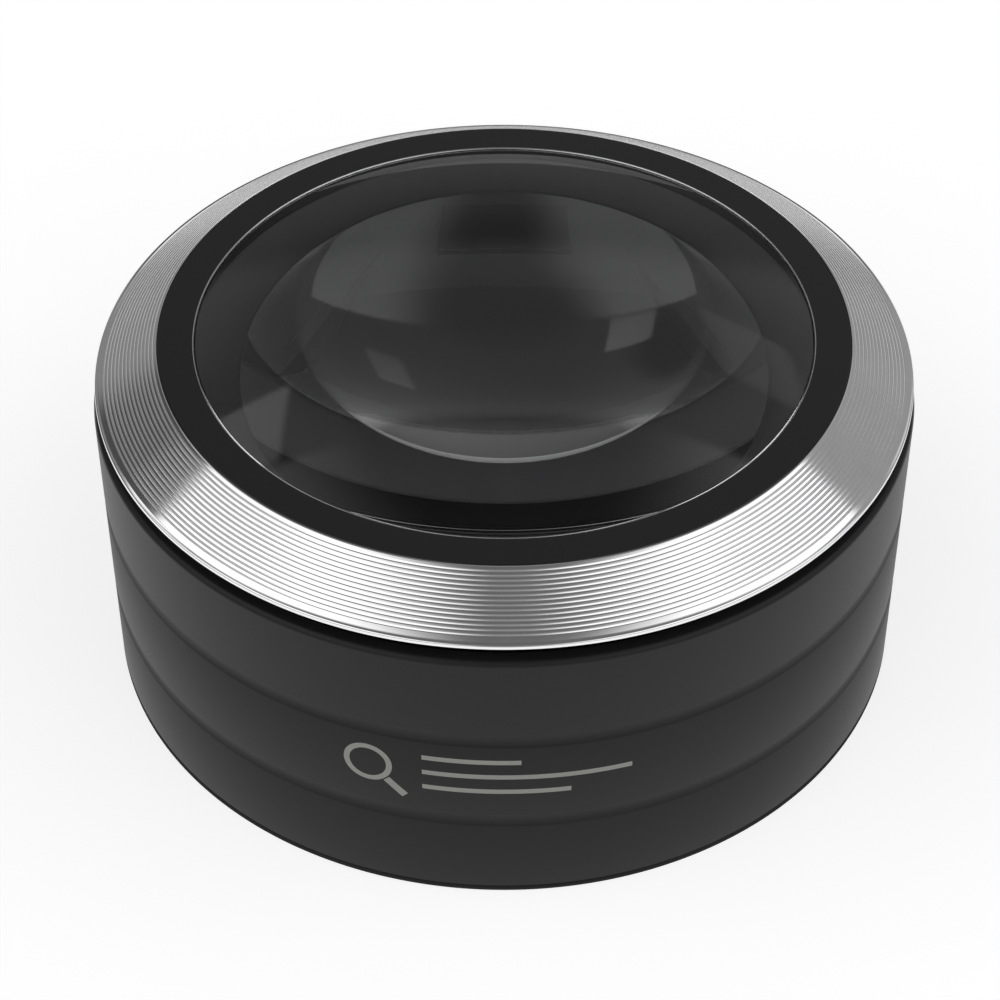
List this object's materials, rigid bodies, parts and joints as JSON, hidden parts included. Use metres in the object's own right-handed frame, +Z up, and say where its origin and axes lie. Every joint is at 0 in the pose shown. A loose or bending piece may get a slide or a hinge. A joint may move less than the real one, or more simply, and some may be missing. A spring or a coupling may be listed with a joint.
{
  "type": "low vision magnifier",
  "caption": "Round lighted stand magnifier with a domed lens in a turned metal bezel over a black grooved base; the head presses to switch and the battery cover twists off.",
  "frame": {"origin": "on the resting plane under the feet, on the optical axis of the lens", "axes": "+Z up along the optical axis, from the page towards the reader; +Y away from the reader, +X to the reader's right"},
  "size_m": [0.087, 0.087, 0.0454],
  "materials": {
    "body_coat": "satin soft-touch coat",
    "gloss_black": "high gloss",
    "tray_plastic": "moulded, fine grain",
    "cell_can": "printed sleeve over a bright can",
    "contact_metal": "nickel plated",
    "board_laminate": "solder mask",
    "led_body": "phosphor window in a white case",
    "window_clear": "clear",
    "component_epoxy": "moulded epoxy",
    "lead_insulation": "insulated wire",
    "screw_steel": "zinc plated",
    "spring_steel": "bright drawn wire",
    "turned_aluminium": "diamond turned, with concentric grooves",
    "ring_black": "smooth gloss",
    "lens_acrylic": "polished optical acrylic",
    "gasket_rubber": "soft",
    "plunger_plastic": "moulded",
    "pad_foam": "closed-cell foam",
    "foot_rubber": "matte"
  },
  "bodies": {
    "base": {"body_shell": "body_coat", "light_funnel": "gloss_black", "battery_tray": "tray_plastic", "cell_1": "cell_can", "cell_2": "cell_can", "cell_3": "cell_can", "contact_springs": "contact_metal", "contact_plates": "contact_metal", "led_board": "board_laminate", "leds": "led_body", "led_windows": "window_clear", "driver_parts": "component_epoxy", "tact_switches": "component_epoxy", "battery_leads": "lead_insulation", "board_screws": "screw_steel", "tray_screws": "screw_steel", "return_springs": "spring_steel"},
    "head": {"bezel_ring": "turned_aluminium", "lens_retaining_ring": "ring_black", "lens": "lens_acrylic", "lens_gasket": "gasket_rubber", "head_collar": "gloss_black", "guide_screws": "screw_steel", "switch_plungers": "plunger_plastic"},
    "cover": {"battery_cover": "tray_plastic", "cell_pads": "pad_foam", "rubber_feet": "foot_rubber"}
  },
  "joints": [
    {"name": "head_press", "type": "slide", "parent": "base", "child": "head", "axis": [0, 0, -1], "range_m": [0, 0.0012], "stiffness_N_per_m": 1700, "springref_m": -0.0018, "deforming": ["return_springs"]},
    {"name": "cover_twist", "type": "hinge", "parent": "base", "child": "cover", "pos_m": [0, 0, 0], "axis": [0, 0, -1], "range_deg": [0, 14]}
  ]
}
